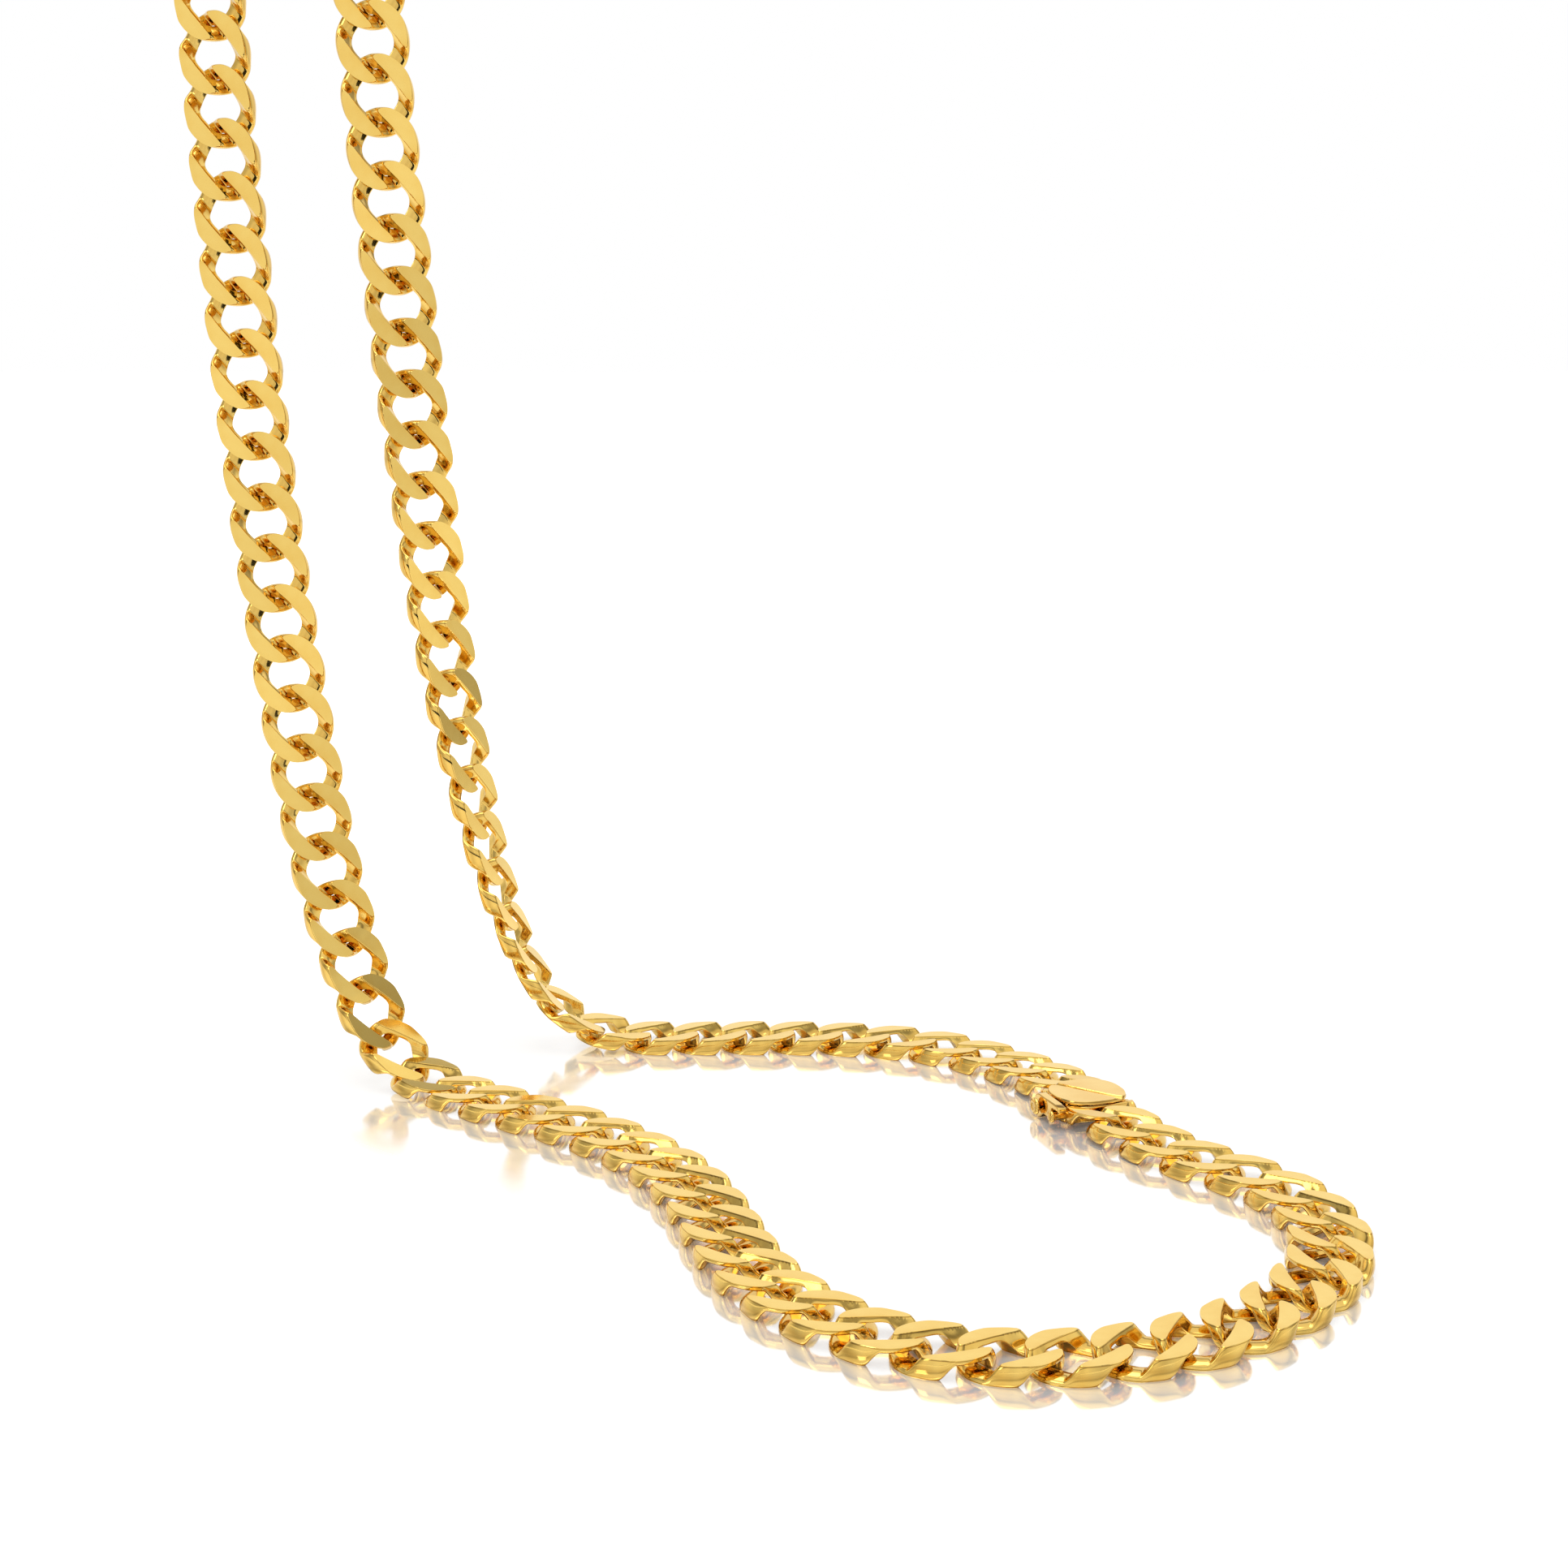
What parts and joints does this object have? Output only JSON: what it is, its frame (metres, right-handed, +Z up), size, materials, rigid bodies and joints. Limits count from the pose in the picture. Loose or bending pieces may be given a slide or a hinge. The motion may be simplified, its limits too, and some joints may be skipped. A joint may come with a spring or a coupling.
{
  "type": "chain necklace",
  "caption": "Closed flat curb-chain necklace of ground, diamond-cut links with a box clasp and safety catch; it hangs from its top and its lower loop lies on a table.",
  "frame": {"origin": "middle of the wire ring of the topmost link, the point the necklace hangs from", "axes": "+Z up, +X to the viewer's right, the viewer looks along +Y; the table is about 167 mm below the origin"},
  "size_m": [0.1229, 0.0979, 0.1688],
  "materials": {
    "gold": "polished",
    "clasp_gold": "polished"
  },
  "bodies": {
    "run_001_002": {"links_001_002": "gold"},
    "run_003_004": {"links_003_004": "gold"},
    "run_005_006": {"links_005_006": "gold"},
    "run_007_008": {"links_007_008": "gold"},
    "run_009_010": {"links_009_010": "gold"},
    "run_011_012": {"links_011_012": "gold"},
    "run_013_014": {"links_013_014": "gold"},
    "run_015_016": {"links_015_016": "gold"},
    "run_017_018": {"links_017_018": "gold"},
    "run_019_020": {"links_019_020": "gold"},
    "run_021_022": {"links_021_022": "gold"},
    "run_023_024": {"links_023_024": "gold"},
    "run_025_026": {"links_025_026": "gold"},
    "run_027_028": {"links_027_028": "gold"},
    "run_029_030": {"links_029_030": "gold"},
    "run_031_032": {"links_031_032": "gold"},
    "run_035_036": {"links_035_036": "gold"},
    "run_037_038": {"links_037_038": "gold"},
    "run_039_040": {"links_039_040": "gold"},
    "run_041_042": {"links_041_042": "gold"},
    "run_043_044": {"links_043_044": "gold"},
    "run_045_046": {"links_045_046": "gold"},
    "run_047_048": {"links_047_048": "gold"},
    "run_049_050": {"links_049_050": "gold"},
    "run_051_052": {"links_051_052": "gold"},
    "run_053_054": {"links_053_054": "gold"},
    "run_055_056": {"links_055_056": "gold"},
    "run_057_058": {"links_057_058": "gold"},
    "run_059_060": {"links_059_060": "gold"},
    "run_061_062": {"links_061_062": "gold"},
    "run_063_064": {"links_063_064": "gold"},
    "run_065_066": {"links_065_066": "gold"},
    "run_067_068": {"links_067_068": "gold"},
    "run_069_070": {"links_069_070": "gold"},
    "run_071_072": {"links_071_072": "gold"},
    "run_073_074": {"links_073_074": "gold"},
    "run_075_076": {"links_075_076": "gold"},
    "run_077_078": {"links_077_078": "gold"},
    "run_079_080": {"links_079_080": "gold"},
    "run_081_082": {"links_081_082": "gold"},
    "run_083_084": {"links_083_084": "gold"},
    "run_085_086": {"links_085_086": "gold"},
    "run_087_088": {"links_087_088": "gold"},
    "run_089_090": {"links_089_090": "gold"},
    "run_091_092": {"links_091_092": "gold"},
    "run_093_094": {"links_093_094": "gold"},
    "run_095_096": {"links_095_096": "gold"},
    "run_097_098": {"links_097_098": "gold"},
    "run_099_100": {"links_099_100": "gold"},
    "run_101_102": {"links_101_102": "gold"},
    "run_103_104": {"links_103_104": "gold"},
    "run_105_106": {"links_105_106": "gold"},
    "clasp_box": {"clasp_box": "gold", "catch_pin": "clasp_gold"},
    "clasp_tongue": {"clasp_tongue": "gold"},
    "safety_catch": {"safety_catch": "clasp_gold"}
  },
  "joints": [
    {"name": "box_hinge", "type": "hinge", "parent": "run_035_036", "child": "clasp_box", "pos_m": [0.08626, -0.02034, -0.16576], "axis": [-0.9502, -0.3116, 0], "range_deg": [-12, 12]},
    {"name": "tongue_slide", "type": "slide", "parent": "clasp_box", "child": "clasp_tongue", "axis": [0.3116, -0.9502, 0.0011], "range_m": [0, 0.006]},
    {"name": "tongue_hinge", "type": "hinge", "parent": "clasp_tongue", "child": "run_031_032", "pos_m": [0.09006, -0.03118, -0.16575], "axis": [0.9502, 0.3116, 0], "range_deg": [-12, 12]},
    {"name": "safety_catch_hinge", "type": "hinge", "parent": "clasp_box", "child": "safety_catch", "pos_m": [0.08782, -0.02478, -0.16573], "axis": [-0.9502, -0.3116, 0], "range_deg": [0, 110]},
    {"name": "bend_077", "type": "hinge", "parent": "run_075_076", "child": "run_077_078", "pos_m": [-0.00326, 0, -0.00103], "axis": [0.8, -0.6, 0], "range_deg": [-3, 3]},
    {"name": "bend_079", "type": "hinge", "parent": "run_077_078", "child": "run_079_080", "pos_m": [-0.00923, 0, -0.00968], "axis": [-0.8, 0.6, 0], "range_deg": [-3, 3]},
    {"name": "bend_081", "type": "hinge", "parent": "run_079_080", "child": "run_081_082", "pos_m": [-0.00879, 0, -0.02112], "axis": [0.8, -0.6, 0], "range_deg": [-3, 3]},
    {"name": "bend_083", "type": "hinge", "parent": "run_081_082", "child": "run_083_084", "pos_m": [-0.00863, 0.00002, -0.03263], "axis": [-0.8, 0.6, 0], "range_deg": [-3, 3]},
    {"name": "bend_085", "type": "hinge", "parent": "run_083_084", "child": "run_085_086", "pos_m": [-0.00847, -0.00004, -0.04415], "axis": [0.8, -0.6, 0], "range_deg": [-3, 3]},
    {"name": "bend_087", "type": "hinge", "parent": "run_085_086", "child": "run_087_088", "pos_m": [-0.00789, -0.00023, -0.05565], "axis": [-0.8, 0.6, 0], "range_deg": [-3, 3]},
    {"name": "bend_089", "type": "hinge", "parent": "run_087_088", "child": "run_089_090", "pos_m": [-0.00717, -0.00074, -0.06714], "axis": [0.8, -0.6, 0], "range_deg": [-4, 4]},
    {"name": "bend_091", "type": "hinge", "parent": "run_089_090", "child": "run_091_092", "pos_m": [-0.00634, -0.00143, -0.0786], "axis": [-0.8, 0.6, 0], "range_deg": [-4, 4]},
    {"name": "bend_093", "type": "hinge", "parent": "run_091_092", "child": "run_093_094", "pos_m": [-0.00536, -0.00213, -0.09006], "axis": [0.8, -0.6, 0], "range_deg": [-5, 5]},
    {"name": "bend_095", "type": "hinge", "parent": "run_093_094", "child": "run_095_096", "pos_m": [-0.00421, -0.00295, -0.10149], "axis": [-0.8, 0.6, 0], "range_deg": [-6, 6]},
    {"name": "bend_097", "type": "hinge", "parent": "run_095_096", "child": "run_097_098", "pos_m": [-0.00284, -0.00391, -0.11289], "axis": [0.8, -0.6, 0], "range_deg": [-8, 8]},
    {"name": "bend_099", "type": "hinge", "parent": "run_097_098", "child": "run_099_100", "pos_m": [-0.0012, -0.00505, -0.12423], "axis": [-0.8, 0.6, 0], "range_deg": [-8, 8]},
    {"name": "bend_101", "type": "hinge", "parent": "run_099_100", "child": "run_101_102", "pos_m": [0.00066, -0.00634, -0.13552], "axis": [0.8, -0.6, 0], "range_deg": [-8, 8]},
    {"name": "bend_103", "type": "hinge", "parent": "run_101_102", "child": "run_103_104", "pos_m": [0.00309, -0.00818, -0.14662], "axis": [-0.8, 0.6, 0], "range_deg": [-8, 8]},
    {"name": "bend_105", "type": "hinge", "parent": "run_103_104", "child": "run_105_106", "pos_m": [0.00671, -0.01126, -0.15708], "axis": [0.8, -0.6, 0], "range_deg": [-8, 8]},
    {"name": "bend_075", "type": "hinge", "parent": "run_075_076", "child": "run_073_074", "pos_m": [0.00672, 0, -0.00354], "axis": [0.8, -0.6, 0], "range_deg": [-3, 3]},
    {"name": "bend_073", "type": "hinge", "parent": "run_073_074", "child": "run_071_072", "pos_m": [0.00936, 0, -0.0142], "axis": [-0.8, 0.6, 0], "range_deg": [-3, 3]},
    {"name": "bend_071", "type": "hinge", "parent": "run_071_072", "child": "run_069_070", "pos_m": [0.00861, 0, -0.02568], "axis": [0.8, -0.6, 0], "range_deg": [-3, 3]},
    {"name": "bend_069", "type": "hinge", "parent": "run_069_070", "child": "run_067_068", "pos_m": [0.00883, 0, -0.0372], "axis": [-0.8, 0.6, 0], "range_deg": [-3, 3]},
    {"name": "bend_067", "type": "hinge", "parent": "run_067_068", "child": "run_065_066", "pos_m": [0.00928, 0, -0.04871], "axis": [0.8, -0.6, 0], "range_deg": [-3, 3]},
    {"name": "bend_065", "type": "hinge", "parent": "run_065_066", "child": "run_063_064", "pos_m": [0.00995, 0, -0.0602], "axis": [-0.8, 0.6, 0], "range_deg": [-4, 4]},
    {"name": "bend_063", "type": "hinge", "parent": "run_063_064", "child": "run_061_062", "pos_m": [0.01088, 0, -0.07169], "axis": [0.8, -0.6, 0], "range_deg": [-4, 4]},
    {"name": "bend_061", "type": "hinge", "parent": "run_061_062", "child": "run_059_060", "pos_m": [0.01188, 0, -0.08316], "axis": [-0.8, 0.6, 0], "range_deg": [-5, 5]},
    {"name": "bend_059", "type": "hinge", "parent": "run_059_060", "child": "run_057_058", "pos_m": [0.0129, 0, -0.09463], "axis": [0.8, -0.6, 0], "range_deg": [-5, 5]},
    {"name": "bend_057", "type": "hinge", "parent": "run_057_058", "child": "run_055_056", "pos_m": [0.01403, 0, -0.1061], "axis": [-0.8, 0.6, 0], "range_deg": [-7, 7]},
    {"name": "bend_055", "type": "hinge", "parent": "run_055_056", "child": "run_053_054", "pos_m": [0.01527, 0, -0.11755], "axis": [0.8, -0.6, 0], "range_deg": [-8, 8]},
    {"name": "bend_053", "type": "hinge", "parent": "run_053_054", "child": "run_051_052", "pos_m": [0.01698, 0, -0.12894], "axis": [-0.8, 0.6, 0], "range_deg": [-8, 8]},
    {"name": "bend_051", "type": "hinge", "parent": "run_051_052", "child": "run_049_050", "pos_m": [0.01916, 0, -0.14025], "axis": [0.8, -0.6, 0], "range_deg": [-8, 8]},
    {"name": "bend_049", "type": "hinge", "parent": "run_049_050", "child": "run_047_048", "pos_m": [0.02218, 0, -0.15135], "axis": [-0.8, 0.6, 0], "range_deg": [-8, 8]},
    {"name": "bend_047", "type": "hinge", "parent": "run_047_048", "child": "run_045_046", "pos_m": [0.02738, 0, -0.16147], "axis": [-0.0027, -1, -0.0034], "range_deg": [-8, 8]},
    {"name": "bend_045", "type": "hinge", "parent": "run_045_046", "child": "run_043_044", "pos_m": [0.03738, -0.00021, -0.16606], "axis": [0.0355, 0.9994, 0.0002], "range_deg": [-15, 15]},
    {"name": "bend_043", "type": "hinge", "parent": "run_043_044", "child": "run_041_042", "pos_m": [0.04888, -0.00028, -0.1662], "axis": [-0.0004, -1, 0], "range_deg": [-15, 15]},
    {"name": "bend_041", "type": "hinge", "parent": "run_041_042", "child": "run_039_040", "pos_m": [0.06038, -0.00063, -0.16617], "axis": [0.1134, 0.9935, 0], "range_deg": [-15, 15]},
    {"name": "bend_039", "type": "hinge", "parent": "run_039_040", "child": "run_037_038", "pos_m": [0.07143, -0.00347, -0.16618], "axis": [-0.4354, -0.9002, 0], "range_deg": [-15, 15]},
    {"name": "bend_037", "type": "hinge", "parent": "run_037_038", "child": "run_035_036", "pos_m": [0.08032, -0.01057, -0.16616], "axis": [0.7583, 0.6519, 0], "range_deg": [-15, 15]},
    {"name": "bend_031", "type": "hinge", "parent": "run_031_032", "child": "run_029_030", "pos_m": [0.0958, -0.04106, -0.16616], "axis": [-0.7766, -0.63, 0], "range_deg": [-15, 15]},
    {"name": "bend_029", "type": "hinge", "parent": "run_029_030", "child": "run_027_028", "pos_m": [0.10315, -0.04982, -0.16618], "axis": [0.861, 0.5085, 0], "range_deg": [-15, 15]},
    {"name": "bend_027", "type": "hinge", "parent": "run_027_028", "child": "run_025_026", "pos_m": [0.10624, -0.06069, -0.16617], "axis": [-0.9998, -0.0218, 0], "range_deg": [-15, 15]},
    {"name": "bend_025", "type": "hinge", "parent": "run_025_026", "child": "run_023_024", "pos_m": [0.10387, -0.07177, -0.16617], "axis": [0.9026, -0.4305, 0], "range_deg": [-15, 15]},
    {"name": "bend_023", "type": "hinge", "parent": "run_023_024", "child": "run_021_022", "pos_m": [0.09713, -0.08099, -0.16617], "axis": [-0.7015, 0.7126, 0], "range_deg": [-15, 15]},
    {"name": "bend_021", "type": "hinge", "parent": "run_021_022", "child": "run_019_020", "pos_m": [0.08773, -0.08746, -0.16617], "axis": [0.3989, -0.917, 0], "range_deg": [-15, 15]},
    {"name": "bend_019", "type": "hinge", "parent": "run_019_020", "child": "run_017_018", "pos_m": [0.07661, -0.08985, -0.16617], "axis": [-0.0011, 1, 0], "range_deg": [-15, 15]},
    {"name": "bend_017", "type": "hinge", "parent": "run_017_018", "child": "run_015_016", "pos_m": [0.06556, -0.08734, -0.16617], "axis": [-0.4539, -0.891, 0], "range_deg": [-15, 15]},
    {"name": "bend_015", "type": "hinge", "parent": "run_015_016", "child": "run_013_014", "pos_m": [0.05685, -0.08004, -0.16617], "axis": [0.7845, 0.6202, 0], "range_deg": [-15, 15]},
    {"name": "bend_013", "type": "hinge", "parent": "run_013_014", "child": "run_011_012", "pos_m": [0.05139, -0.07, -0.16617], "axis": [-0.9404, -0.3402, 0], "range_deg": [-15, 15]},
    {"name": "bend_011", "type": "hinge", "parent": "run_011_012", "child": "run_009_010", "pos_m": [0.04826, -0.05893, -0.16617], "axis": [0.9629, 0.2697, 0], "range_deg": [-15, 15]},
    {"name": "bend_009", "type": "hinge", "parent": "run_009_010", "child": "run_007_008", "pos_m": [0.04453, -0.04806, -0.16617], "axis": [-0.9048, -0.4259, 0], "range_deg": [-15, 15]},
    {"name": "bend_007", "type": "hinge", "parent": "run_007_008", "child": "run_005_006", "pos_m": [0.03844, -0.03835, -0.16617], "axis": [0.7735, 0.6338, 0], "range_deg": [-15, 15]},
    {"name": "bend_005", "type": "hinge", "parent": "run_005_006", "child": "run_003_004", "pos_m": [0.03024, -0.03031, -0.16617], "axis": [-0.6248, -0.7808, 0], "range_deg": [-15, 15]},
    {"name": "bend_003", "type": "hinge", "parent": "run_003_004", "child": "run_001_002", "pos_m": [0.02126, -0.02313, -0.16627], "axis": [0.6792, 0.734, -0.0006], "range_deg": [-15, 15]}
  ]
}
